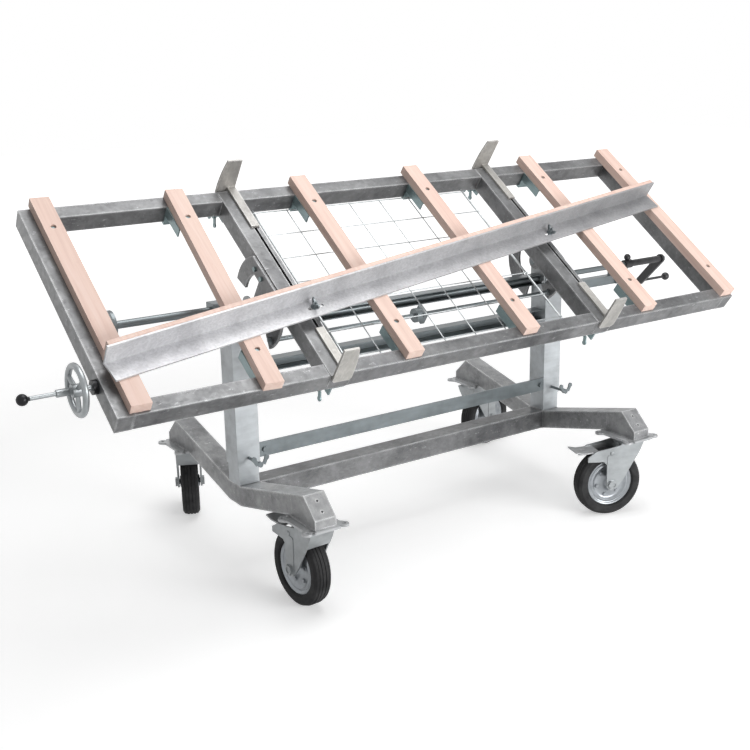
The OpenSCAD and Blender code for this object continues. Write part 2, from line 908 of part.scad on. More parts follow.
// A batten with a counterbored screw hole near each end
module batten_wood(k) {
    color(wood)
        on_table()
            translate([batten_x[k], batten_v[k], rail_top])
                rotate([0, 0, batten_turn[k]])
                    difference() {
                        block([-batten_w / 2, -batten_l / 2, 0], [batten_w / 2, batten_l / 2,
                            batten_t]);
                        for (along = [front_screw, back_screw]) {
                            round_z(screw_head_r + 1, batten_t - sunk, batten_t + eps, 0, along);
                            round_z(screw_r, -eps, batten_t, 0, along);
                        }
                    }
}

module end_battens() {
    batten_wood(0);
    batten_wood(5);
}

clamp_half = 27;
clamp_arm = 86;
clamp_t = 5;

// A screw sunk in a batten, drawn from the batten's underside
module batten_screw() {
    cylinder(h = batten_t - sunk, r = screw_r - 1, $fn = fine);
    translate([0, 0, batten_t - sunk]) cylinder(h = 4, r = screw_head_r, $fn = fine);
}

// A clamp bracket under one end of a batten, hooked on the inside of a long rail
module batten_clamp(side) {
    face = side < 0 ? front_v + rail_w : back_v - rail_w;
    inward = -side;
    lo = min(face + inward * seat_gap, face + inward * (seat_gap + clamp_t));
    far = face + inward * clamp_arm;
    difference() {
        union() {
            block([-clamp_half, lo, rail_bottom - 6], [clamp_half, lo + clamp_t, rail_top]);
            block([-clamp_half, min(lo, far), rail_top - clamp_t],
                [clamp_half, max(lo + clamp_t, far), rail_top]);
            block([-clamp_half, side < 0 ? lo - 16 : lo, rail_bottom - 6],
                [clamp_half, side < 0 ? lo + clamp_t : lo + clamp_t + 16, rail_bottom - 1]);
            for (dx = [-clamp_half, clamp_half - 4])
                block([dx, min(lo, far), rail_top - 26], [dx + 4, max(lo + clamp_t, far), rail_top]);
        }
        round_y(4.5, face - 40, face + 40, 0, rail_bottom + 16);
    }
}

module batten_clamps(k) {
    color(zinc)
        on_table()
            for (side = [-1, 1]) {
                along = side < 0 ? front_screw : back_screw;
                dx = -sin(batten_turn[k]) * along;
                face = side < 0 ? front_v + rail_w : back_v - rail_w;
                translate([batten_x[k] + dx, 0, 0]) {
                    batten_clamp(side);
                    // The wing screw that holds the bracket to the rail
                    translate([0, face - side * (seat_gap + clamp_t), rail_bottom + 16])
                        rotate([0, 0, side < 0 ? 180 : 0])
                            wing_screw(18);
                    translate([0, batten_v[k] + along, rail_top]) batten_screw();
                }
            }
}

module batten_2() batten_wood(1);
module batten_3() batten_wood(2);
module batten_4() batten_wood(3);
module batten_5() batten_wood(4);
module batten_2_clamps() batten_clamps(1);
module batten_3_clamps() batten_clamps(2);
module batten_4_clamps() batten_clamps(3);
module batten_5_clamps() batten_clamps(4);

end_clamp_t = 5;
end_clamp_h = 28;

// A small clamp under one end of a cross rail, with a wing screw that points left
module end_clamp(x, side) {
    low_v = side < 0 ? front_v + 2 : back_v - 38;
    high_v = low_v + 36;
    low_x = x - 13;
    difference() {
        union() {
            block([low_x, low_v, rail_bottom - end_clamp_h],
                [low_x + end_clamp_t, high_v, rail_bottom]);
            block([low_x, low_v, rail_bottom - end_clamp_t], [x + 28, high_v, rail_bottom]);
        }
        round_x(4, low_x - eps, low_x + end_clamp_t + eps, low_v + 18, rail_bottom - 16);
    }
    translate([low_x + end_clamp_t, low_v + 18, rail_bottom - 16])
        rotate([0, 0, -90])
            rotate([0, 180, 0])
                wing_screw(20);
}

// Screws of the end battens, the quadrants' bolts, the cross rails' clamps and the wheel's bush
module frame_fasteners() {
    bush_r = 17;
    bush_l = 12;
    color(zinc)
        on_table() {
            difference() {
                round_x(bush_r, -table_l / 2 - bush_l, -table_l / 2, hand_v, rail_top - rail_h / 2);
                round_x(hand_shaft_r + run_gap, -table_l / 2 - bush_l - eps, -table_l / 2 + eps,
                    hand_v, rail_top - rail_h / 2);
            }
            for (x = [cross_left_x, cross_right_x], side = [-1, 1])
                end_clamp(x, side);
            for (k = [0, 5], along = [front_screw, back_screw])
                translate([batten_x[k], batten_v[k] + along, rail_top]) batten_screw();
            for (v = [-58, 20, 58]) {
                translate([quadrant_left, v, rail_bottom + 25])
                    rotate([0, -90, 0])
                        hex_head(7, 5);
                translate([quadrant_right + quadrant_t, v, rail_bottom + 25])
                    rotate([0, 90, 0])
                        hex_head(6, 4);
            }
        }
}

// Hooks: side -1 at the front, 1 at the back. The stem lies on the cross rail and the long rail
hook_stem = 110;
stem_w = 24;
hook_lip = 18;

// Outline of a hook's blade seen from the front: one long edge is straight, the other curves in
module hook_outline(side) {
    tip = 13;
    corner = 6;
    half = hook_w / 2;
    steps = 6;
    polygon(concat(
        [[side * (half - corner), -hook_lip], [side * half, corner - hook_lip],
            [side * half, hook_h]],
        [for (k = [steps:-1:0]) let (u = k / steps) [side * (tip * u * u - half), u * hook_h]],
        [[-side * half, corner - hook_lip], [side * (corner - half), -hook_lip]]));
}

module hook(x, side, reach) {
    out = side < 0 ? front_v - reach : back_v + reach;
    inner = out - side * (reach + rail_w + hook_stem);
    low = rail_top + seat_gap;
    color(galvanised)
        on_table() {
            block([x + slot_off - stem_w / 2, min(out, inner), low],
                [x + slot_off + stem_w / 2, max(out, inner), low + hook_t]);
            translate([x, 0, low])
                plate_xz(out - hook_t / 2, out + hook_t / 2) hook_outline(side);
        }
}

module front_left_hook() hook(cross_left_x, -1, front_reach);
module front_right_hook() hook(cross_right_x, -1, front_reach);
module back_left_hook() hook(cross_left_x, 1, back_reach);
module back_right_hook() hook(cross_right_x, 1, back_reach);

// Stop angle, in its own frame: X along it, Y across it, Z up from the battens
stop_x = -6;
stop_up = 291.5;
stop_v = front_v + stop_up;

module on_stop()
    on_table()
        translate([stop_x, stop_v, batten_top + seat_gap])
            rotate([0, 0, stop_turn])
                children();

module stop_angle() {
    slot_l = 40;
    color(galvanised)
        on_stop()
            difference() {
                union() {
                    block([-stop_l / 2, -stop_leg, 0], [stop_l / 2, 0, stop_t]);
                    block([-stop_l / 2, -stop_t, 0], [stop_l / 2, 0, stop_leg]);
                }
                for (x = [cross_left_x, cross_right_x])
                    translate([(x + slot_off - stop_x) / cos(stop_turn), -stop_leg / 2 - 2, -1])
                        hull()
                            for (dx = [-slot_l / 2, slot_l / 2])
                                translate([dx, 0, 0])
                                    cylinder(h = stop_t + 2, r = 4.5, $fn = 32);
            }
}

strip_t = 12;

// Wooden strips behind the upright of the stop
module stop_strips() {
    color(wood)
        on_stop()
            block([-stop_l / 2 + 4, 0, 0], [stop_l / 2 - 4, strip_t, stop_leg + 2]);
}

module stop_screws() {
    color(zinc)
        on_table()
            for (x = [cross_left_x, cross_right_x]) {
                along = (x + slot_off - stop_x) / cos(stop_turn);
                v = stop_v + along * sin(stop_turn) - (stop_leg / 2 + 2) * cos(stop_turn);
                dx = (stop_leg / 2 + 2) * sin(stop_turn);
                top = batten_top + seat_gap + stop_t;
                translate([x + slot_off, v, 0]) {
                    round_z(2.9, rail_top - 12, top + 20, 0, 0);
                    block([-10, -10, rail_top - cross_wall - 9], [10, 10,
                        rail_top - cross_wall - seat_gap]);
                    round_z(9, top, top + 2.5, 0, 0);
                    translate([0, 0, top + 2.5 - eps]) wing_nut();
                }
            }
}

// The wheel on the left end, with its shaft and its ball-ended handle
module handwheel() {
    plane = -table_l / 2 - 45;
    ball_x = plane - 114;
    ball_r = 13.5;
    rim_r = 7.5;
    handle_off = 22;
    color(zinc)
        on_table()
            translate([0, hand_v, rail_top - rail_h / 2]) {
                round_x(hand_shaft_r, plane - 14, -table_l / 2 + rail_w - 4);
                round_x(15, plane - 12, plane + 12);
                translate([plane, 0, 0])
                    rotate([0, 90, 0])
                        rotate_extrude($fn = 96)
                            translate([hand_r - rim_r, 0])
                                polygon([for (k = [0:15])
                                    rim_r * [cos(22.5 * k + 11.25), sin(22.5 * k + 11.25)]]);
                for (a = [20, 140, 260])
                    rotate([a, 0, 0])
                        round_z(5.5, 10, hand_r - rim_r, plane, 0);
                rotate([-50, 0, 0]) {
                    block([plane - 10, 0, -5], [plane - 2, handle_off + 6, 5]);
                    round_x(9, plane - 40, plane - 8, handle_off, 0);
                    round_x(5, ball_x, plane - 30, handle_off, 0);
                    translate([ball_x, handle_off, 0]) ball(ball_r);
                }
            }
}

spine_beam();
left_legs();
right_legs();
left_post();
right_post();
caster_plates();
front_left_fork();
front_left_wheel_disc();
front_left_tyre();
front_left_brake_pedal();
front_right_fork();
front_right_wheel_disc();
front_right_tyre();
front_right_brake_pedal();
back_left_fork();
back_left_wheel_disc();
back_left_tyre();
back_left_brake_pedal();
back_right_fork();
back_right_wheel_disc();
back_right_tyre();
back_right_brake_pedal();
left_sleeve();
right_sleeve();
brace_bar();
lift_channel();
tie_beam();
tie_rod();
crank_bracket();
pivot_shafts();
bearing_plates();
sleeve_screws();
cross_shaft();
crank_arm();
crank_grip();
left_spindle();
right_spindle();
long_rails();
end_rails();
cross_rails();
tilt_quadrants();
mesh_panel();
end_battens();
frame_fasteners();
batten_2();
batten_2_clamps();
batten_3();
batten_3_clamps();
batten_4();
batten_4_clamps();
batten_5();
batten_5_clamps();
front_left_hook();
front_right_hook();
back_left_hook();
back_right_hook();
stop_angle();
stop_strips();
stop_screws();
handwheel();
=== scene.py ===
import json
import math
import random

import bmesh
import bpy
from mathutils import Matrix, Vector


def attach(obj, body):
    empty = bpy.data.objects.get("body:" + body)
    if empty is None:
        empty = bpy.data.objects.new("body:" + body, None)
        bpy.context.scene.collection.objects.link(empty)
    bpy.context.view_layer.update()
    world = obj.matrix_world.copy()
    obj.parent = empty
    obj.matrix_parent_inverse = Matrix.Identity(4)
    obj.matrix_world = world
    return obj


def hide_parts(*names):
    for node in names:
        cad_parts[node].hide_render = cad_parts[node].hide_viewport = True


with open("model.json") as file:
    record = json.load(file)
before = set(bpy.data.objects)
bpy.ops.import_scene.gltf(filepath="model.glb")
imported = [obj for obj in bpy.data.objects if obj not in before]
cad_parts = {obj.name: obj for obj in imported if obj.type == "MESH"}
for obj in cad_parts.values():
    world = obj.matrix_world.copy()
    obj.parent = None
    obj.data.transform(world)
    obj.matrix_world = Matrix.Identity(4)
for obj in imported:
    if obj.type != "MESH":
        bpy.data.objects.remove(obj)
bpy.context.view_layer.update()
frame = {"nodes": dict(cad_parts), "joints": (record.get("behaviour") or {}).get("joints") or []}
nodes = frame["nodes"]
joints = {joint["name"]: joint for joint in frame["joints"]}
random.seed(7)

# Metres in one millimetre: places and sizes are in millimetres where nothing else is said
MM = 0.001


def joint_place(name):
    return Vector([value / MM for value in joints[name]["pos_m"]])


def box_from(node, place=Matrix.Identity(4)):
    """The lowest and highest corner of a CAD node to a tenth of a millimetre, in the frame of place."""
    back = place.inverted()
    points = [back @ (vertex.co / MM) for vertex in nodes[node].data.vertices]
    return [Vector([round(pick(point[axis] for point in points), 1) for axis in range(3)])
            for pick in (min, max)]


# The table's own frame: X along it, Y up its slope, Z square to it, from the tilt axis
TILT = math.radians(-joints["table_tilt"]["range_deg"][0])
TABLE = Matrix.Translation(joint_place("table_tilt")) @ Matrix.Rotation(TILT, 4, "X")

# The casters, whose sizes are the same at all corners
CORNERS = ("front_left", "front_right", "back_left", "back_right")
AXLE = joint_place("front_left_roll")
TRAIL = round((AXLE - joint_place("front_left_swivel")).xy.length, 1)
WHEEL_R = AXLE.z
FORK_GAP = 0.3
PLATE_BOTTOM, SEAT_TOP = [corner.z for corner in box_from("caster_plates")]
FORK_TOP = PLATE_BOTTOM - FORK_GAP

# The camera of the photograph, in metres, worked out from the object's straight edges
CAMERA_PLACE = (-1.82214, -2.53892, 1.32581)
CAMERA_AZIMUTH = math.radians(34.006)
CAMERA_PITCH = math.radians(15.934)
CAMERA_ROLL = math.radians(-1.083)
LENS, SENSOR = 54.085, 36


def show(thing):
    bpy.context.scene.collection.objects.link(thing)
    return thing


def place_camera():
    """Looks ahead along the azimuth, down by the pitch, and turns by the roll."""
    level = math.cos(CAMERA_PITCH)
    ahead = Vector((math.sin(CAMERA_AZIMUTH) * level, math.cos(CAMERA_AZIMUTH) * level,
                    -math.sin(CAMERA_PITCH)))
    right = Vector((math.cos(CAMERA_AZIMUTH), -math.sin(CAMERA_AZIMUTH), 0))
    up = right.cross(ahead)
    turned_right = right * math.cos(CAMERA_ROLL) + up * math.sin(CAMERA_ROLL)
    turned_up = up * math.cos(CAMERA_ROLL) - right * math.sin(CAMERA_ROLL)
    turn = Matrix((turned_right, turned_up, -ahead)).transposed().to_4x4()
    data = bpy.data.cameras.new("camera")
    data.lens = LENS
    data.sensor_width = SENSOR
    camera = show(bpy.data.objects.new("camera", data))
    camera.matrix_world = Matrix.Translation(CAMERA_PLACE) @ turn
    bpy.context.scene.camera = camera


# Materials

WHITE = (1, 1, 1)
BLACK = (0, 0, 0)


def shade(colour, factor):
    return tuple(min(1, part * factor) for part in colour)


class Nodes:
    """Short calls for building one material's nodes."""

    def __init__(self, name):
        self.material = bpy.data.materials.new(name)
        self.material.use_nodes = True
        self.tree = self.material.node_tree
        self.shader = self.tree.nodes["Principled BSDF"]
        self.place = self.add("ShaderNodeTexCoord").outputs["Object"]

    def add(self, kind, **values):
        node = self.tree.nodes.new(kind)
        for key, value in values.items():
            setattr(node, key, value)
        return node

    def link(self, source, target):
        self.tree.links.new(source, target)

    def mapping(self, scale=(1, 1, 1), turn=(0, 0, 0), source=None):
        node = self.add("ShaderNodeMapping")
        node.inputs["Scale"].default_value = scale
        node.inputs["Rotation"].default_value = turn
        self.link(source or self.place, node.inputs["Vector"])
        return node.outputs["Vector"]

    def along_x(self):
        """The place along the X axis, in metres."""
        node = self.add("ShaderNodeSeparateXYZ")
        self.link(self.place, node.inputs["Vector"])
        return node.outputs["X"]

    def noise(self, scale, detail=4.0, source=None, roughness=0.55, distortion=0.0):
        node = self.add("ShaderNodeTexNoise")
        node.inputs["Scale"].default_value = scale
        node.inputs["Detail"].default_value = detail
        node.inputs["Roughness"].default_value = roughness
        node.inputs["Distortion"].default_value = distortion
        self.link(source or self.place, node.inputs["Vector"])
        return node.outputs["Fac"]

    def crystals(self, scale):
        """Three unrelated values for each crystal, with slightly ragged borders."""
        warped = self.mix(0.05, self.place, self.add("ShaderNodeTexNoise").outputs["Color"])
        cells = self.add("ShaderNodeTexVoronoi", feature="F1")
        cells.inputs["Scale"].default_value = scale
        self.link(warped, cells.inputs["Vector"])
        split = self.add("ShaderNodeSeparateColor")
        self.link(cells.outputs["Color"], split.inputs["Color"])
        return split.outputs

    def edges(self, radius):
        """White along the outer and inner edges, else black."""
        rounded = self.add("ShaderNodeBevel", samples=4)
        rounded.inputs["Radius"].default_value = radius
        facing = self.add("ShaderNodeVectorMath", operation="DOT_PRODUCT")
        self.link(rounded.outputs["Normal"], facing.inputs[0])
        self.link(self.add("ShaderNodeNewGeometry").outputs["True Normal"], facing.inputs[1])
        return self.ramp(facing.outputs["Value"], [(0.90, WHITE), (0.995, BLACK)])

    def ramp(self, source, stops):
        node = self.add("ShaderNodeValToRGB")
        first, last = node.color_ramp.elements
        first.position, first.color = stops[0][0], (*stops[0][1], 1)
        last.position, last.color = stops[-1][0], (*stops[-1][1], 1)
        for place, colour in stops[1:-1]:
            node.color_ramp.elements.new(place).color = (*colour, 1)
        self.link(source, node.inputs["Fac"])
        return node.outputs["Color"]

    def mix(self, share, first, second, blend="MIX"):
        """Blends two colours; each value is a number, a colour or another node's output."""
        node = self.add("ShaderNodeMix", data_type="RGBA", blend_type=blend)
        for value, name in ((share, "Factor"), (first, "A"), (second, "B")):
            socket = node.inputs[name]
            if hasattr(value, "links"):
                self.link(value, socket)
            elif isinstance(value, (int, float)):
                socket.default_value = value
            else:
                socket.default_value = (*value, 1)
        return next(output for output in node.outputs if output.type == "RGBA")

    def spread(self, source, low, high, start=0.0, end=1.0):
        """Maps a value from start..end to low..high."""
        node = self.add("ShaderNodeMapRange")
        for name, value in (("From Min", start), ("From Max", end), ("To Min", low), ("To Max", high)):
            node.inputs[name].default_value = value
        self.link(source, node.inputs["Value"])
        return node.outputs["Result"]

    def bump(self, source, depth, distance=0.001, below=None):
        node = self.add("ShaderNodeBump")
        node.inputs["Strength"].default_value = depth
        node.inputs["Distance"].default_value = distance
        self.link(source, node.inputs["Height"])
        if below:
            self.link(below, node.inputs["Normal"])
        return node.outputs["Normal"]

    def finish(self, colour, rough, normal, metal=0.0, **fixed):
        self.link(colour, self.shader.inputs["Base Color"])
        self.link(rough, self.shader.inputs["Roughness"])
        self.link(normal, self.shader.inputs["Normal"])
        self.shader.inputs["Metallic"].default_value = metal
        for name, value in fixed.items():
            self.shader.inputs[name.replace("_", " ")].default_value = value
        return self.material


def galvanised(name, light, dark, spangle=90.0, metal=0.3, wear_and_edge_highlight=0.6, dulled=False):
    """Hot-dip galvanised steel: fine crystals, cloudy patches, dull runs, pale specks, and a painted
    highlight, partly wear, along the edges.

    A dulled piece has more stone dust and stains towards its right end.
    """
    steel = Nodes(name)
    crystal = steel.crystals(spangle)
    middle = tuple((pale + deep) / 2 for pale, deep in zip(light, dark))
    frost = steel.ramp(crystal["Red"], [(0.0, shade(middle, 0.62)), (0.5, middle),
                                        (1.0, shade(middle, 1.4))])
    clouds = steel.noise(6.0, 6.0, roughness=0.7)
    colour = steel.mix(0.28, steel.ramp(clouds, [(0.34, dark), (0.64, light)]), frost)
    runs = steel.noise(5.0, 6.0, steel.mapping((1, 1, 0.25)), 0.65)
    stains = steel.ramp(runs, [(0.46, WHITE), (0.7, (0.55, 0.55, 0.57))])
    colour = steel.mix(0.75, colour, stains, "MULTIPLY")
    bright = shade(light, 2.2)
    scratched = steel.noise(90.0, 9.0, steel.mapping((0.45, 1, 1), (0.4, 0.2, 0.7)), 0.8)
    specks = steel.ramp(scratched, [(0.60, BLACK), (0.68, WHITE)])
    colour = steel.mix(steel.mix(wear_and_edge_highlight, BLACK, specks), colour, bright)
    # Painted highlight along the edges, partly rubbed wear: the edges are mixed towards the bright colour
    patchy = steel.ramp(steel.noise(22.0, 5.0), [(0.35, (0.25, 0.25, 0.25)), (0.6, WHITE)])
    rubbed_and_highlit_edges = steel.mix(0.9, steel.edges(0.007), patchy, "MULTIPLY")
    colour = steel.mix(steel.mix(wear_and_edge_highlight, BLACK, rubbed_and_highlit_edges), colour, bright)
    if dulled:
        dull = steel.mix(1.0, colour, (0.5, 0.5, 0.5), "MULTIPLY")
        colour = steel.mix(steel.spread(steel.along_x(), 0.0, 1.0, -0.8, 0.8), colour, dull)
    normal = steel.bump(steel.noise(420.0, 3.0), 0.12, 0.0006, steel.bump(clouds, 0.2, 0.002))
    return steel.finish(colour, steel.spread(crystal["Green"], 0.3, 0.44), normal, metal)


def zinc_plated(name, tone, metal=0.5, rough=(0.24, 0.42), black_left_of=None):
    """Bright zinc plating: smooth, slightly blue, with faint rolling lines and handling marks.

    The part of a piece to the left of black_left_of, in metres, is black bakelite.
    """
    steel = Nodes(name)
    dark, pale = shade(tone, 0.72), shade(tone, 1.18)
    clouds = steel.noise(14.0, 5.0)
    smears = steel.noise(60.0, 4.0, steel.mapping((0.25, 1, 1)))
    colour = steel.ramp(clouds, [(0.3, dark), (0.5, tone), (0.75, pale)])
    colour = steel.mix(0.3, colour, steel.ramp(smears, [(0.35, dark), (0.65, pale)]))
    if black_left_of is not None:
        left = steel.add("ShaderNodeMath", operation="LESS_THAN")
        left.inputs[1].default_value = black_left_of
        steel.link(steel.along_x(), left.inputs[0])
        colour = steel.mix(left.outputs["Value"], colour, (0.012, 0.012, 0.014))
    normal = steel.bump(steel.noise(500.0, 2.0), 0.08, 0.0004)
    return steel.finish(colour, steel.spread(smears, *rough), normal, metal)


def beech(name):
    """Planed beech: straight grain along the batten, short dark flecks and a pink-cream tone."""
    wood = Nodes(name)
    on_table = wood.mapping((1, 1, 1), (-TILT, 0, 0))
    grain = wood.noise(70.0, 6.0, wood.mapping((1, 0.035, 1), source=on_table), 0.6, 0.6)
    bands = wood.noise(9.0, 3.0, wood.mapping((1, 0.12, 1), source=on_table))
    flecks = wood.noise(420.0, 2.0, wood.mapping((1, 0.09, 1), source=on_table))
    tone = wood.ramp(grain, [(0.3, (0.72, 0.53, 0.46)), (0.5, (0.80, 0.61, 0.53)),
                             (0.7, (0.84, 0.67, 0.60))])
    tint = wood.ramp(bands, [(0.35, (0.96, 0.91, 0.90)), (0.65, (1.0, 1.0, 0.99))])
    colour = wood.mix(0.9, tone, tint, "MULTIPLY")
    spots = wood.ramp(flecks, [(0.66, WHITE), (0.76, (0.78, 0.64, 0.55))])
    colour = wood.mix(0.35, colour, spots, "MULTIPLY")
    return wood.finish(colour, wood.spread(bands, 0.5, 0.68), wood.bump(grain, 0.25, 0.0006))


def rubber(name):
    """Black tyre rubber with a dusty bloom."""
    tyre = Nodes(name)
    dust = tyre.noise(24.0, 5.0)
    colour = tyre.ramp(dust, [(0.35, (0.015, 0.015, 0.016)), (0.7, (0.05, 0.05, 0.051))])
    normal = tyre.bump(tyre.noise(700.0, 3.0), 0.25, 0.0005)
    return tyre.finish(colour, tyre.spread(dust, 0.6, 0.8), normal, Specular_IOR_Level=0.2)


def black_finish(name):
    """Black burnished steel and bakelite: dark, half glossy, with a faint grain."""
    black = Nodes(name)
    clouds = black.noise(40.0, 4.0)
    colour = black.ramp(clouds, [(0.35, (0.012, 0.012, 0.014)), (0.7, (0.035, 0.035, 0.038))])
    normal = black.bump(black.noise(300.0, 2.0), 0.08, 0.0004)
    return black.finish(colour, black.spread(clouds, 0.28, 0.42), normal, 0.1)


# The places where the handwheel's ball and the frame's bush end, in metres
BALL_END, BUSH_END = -1.143, -0.9995

MATERIALS = {
    "galvanised": galvanised("galvanised steel", (0.27, 0.273, 0.277), (0.065, 0.067, 0.07),
                             wear_and_edge_highlight=0.8),
    "base": galvanised("pale galvanised steel", (0.43, 0.435, 0.44), (0.14, 0.143, 0.147),
                       wear_and_edge_highlight=0.75),
    "blade": galvanised("dull galvanised steel", (0.50, 0.485, 0.455), (0.36, 0.35, 0.33),
                        wear_and_edge_highlight=0.25),
    "stop": galvanised("smooth galvanised steel", (0.70, 0.70, 0.72), (0.60, 0.60, 0.615),
                       spangle=220.0, metal=0.15, wear_and_edge_highlight=0.3, dulled=True),
    "zinc": zinc_plated("zinc plated steel", (0.50, 0.53, 0.55), 0.2),
    "handwheel": zinc_plated("grey zinc plated wheel", (0.34, 0.36, 0.37), 0.6,
                             black_left_of=BALL_END),
    "bushed": zinc_plated("blue zinc plating with a black bush", (0.24, 0.32, 0.33),
                          black_left_of=BUSH_END),
    "bar": zinc_plated("dark zinc plating", (0.18, 0.205, 0.215)),
    "fork": zinc_plated("grey zinc plating", (0.36, 0.38, 0.39), 0.35),
    "plate": zinc_plated("pale zinc plating", (0.46, 0.47, 0.48), 0.35),
    "clamp": zinc_plated("blue zinc plating", (0.24, 0.32, 0.33)),
    "wire": zinc_plated("zinc plated wire", (0.55, 0.58, 0.59)),
    "disc": zinc_plated("pressed zinc", (0.33, 0.35, 0.37), 0.6, (0.26, 0.36)),
    "wood": beech("planed beech"),
    "tyre": rubber("tyre rubber"),
    "black": black_finish("black finish"),
}

# The material of each CAD node, by the end of its name; all others are plain zinc
MATERIAL_OF = {
    "tyre": ("_tyre",),
    "disc": ("_wheel_disc",),
    "wood": ("end_battens", "stop_strips", "batten_2", "batten_3", "batten_4", "batten_5"),
    "clamp": ("_clamps",),
    "bushed": ("frame_fasteners",),
    "handwheel": ("handwheel",),
    "stop": ("stop_angle",),
    "wire": ("mesh_panel",),
    "black": ("crank_arm", "crank_grip"),
    "blade": ("_hook",),
    "fork": ("_fork", "bearing_plates"),
    "plate": ("_pedal", "caster_plates"),
    "bar": ("brace_bar", "lift_channel", "tie_beam", "tie_rod", "cross_shaft", "pivot_shafts",
            "crank_bracket", "stop_screws", "sleeve_screws"),
    "base": ("left_legs", "right_legs"),
    "galvanised": ("spine_beam", "long_rails", "end_rails", "cross_rails", "tilt_quadrants"),
}

# The radius of rounded edges in metres; blades, wires and the nodes with round bars keep sharp ones
EDGE = {"wood": 0.0022, "galvanised": 0.0025, "base": 0.0025, "stop": 0.0015, "tyre": 0.0015,
        "disc": 0.0012, "zinc": 0.0010, "bar": 0.0010, "fork": 0.0010, "black": 0.0010,
        "plate": 0.0008, "clamp": 0.0008, "bushed": 0.0008, "handwheel": 0.0008}
SHARP_NODES = ("cross_shaft", "left_spindle", "right_spindle")
WELD_DISTANCE = 0.00001
FLAT_ANGLE = math.radians(0.6)
EDGE_ANGLE = math.radians(35)


def material_for(node):
    for kind, endings in MATERIAL_OF.items():
        if node.endswith(endings):
            return kind
    return "zinc"


def soften(piece, width):
    """Joins the doubled vertices and rounds the sharp edges."""
    weld = piece.modifiers.new("weld", "WELD")
    weld.merge_threshold = WELD_DISTANCE
    flat = piece.modifiers.new("flat", "DECIMATE")
    flat.decimate_type = "DISSOLVE"
    flat.angle_limit = FLAT_ANGLE
    bevel = piece.modifiers.new("edges", "BEVEL")
    bevel.width = width
    bevel.segments = 2
    bevel.limit_method = "ANGLE"
    bevel.angle_limit = EDGE_ANGLE
    bevel.harden_normals = False
    for face in piece.data.polygons:
        face.use_smooth = True
    smooth = piece.modifiers.new("even", "WEIGHTED_NORMAL")
    smooth.keep_sharp = True


def dress_cad():
    for name, piece in nodes.items():
        kind = material_for(name)
        piece.data.materials.clear()
        piece.data.materials.append(MATERIALS[kind])
        if name not in SHARP_NODES and kind in EDGE:
            soften(piece, EDGE[kind])


# Detail pieces, drawn in millimetres in the part's own frame

SHARP_EDGE = math.radians(38)
# A weld bead's ripples: spacing and least number, swell as shares of the bead's radius, and sway
RIPPLE_STEP, FEWEST_RIPPLES = 1.6, 4
SWELL_MEAN, SWELL_WAVE, SWELL_TURN, SWELL_NOISE, END_SWELL = 0.82, 0.14, 1.7, 0.06, 0.35
SWAY = 0.2


def ring_point(radius, height, step, steps):
    """A point of a ring about the Z axis, counted in steps."""
    angle = 2 * math.pi * step / steps
    return Vector((radius * math.cos(angle), radius * math.sin(angle), height))


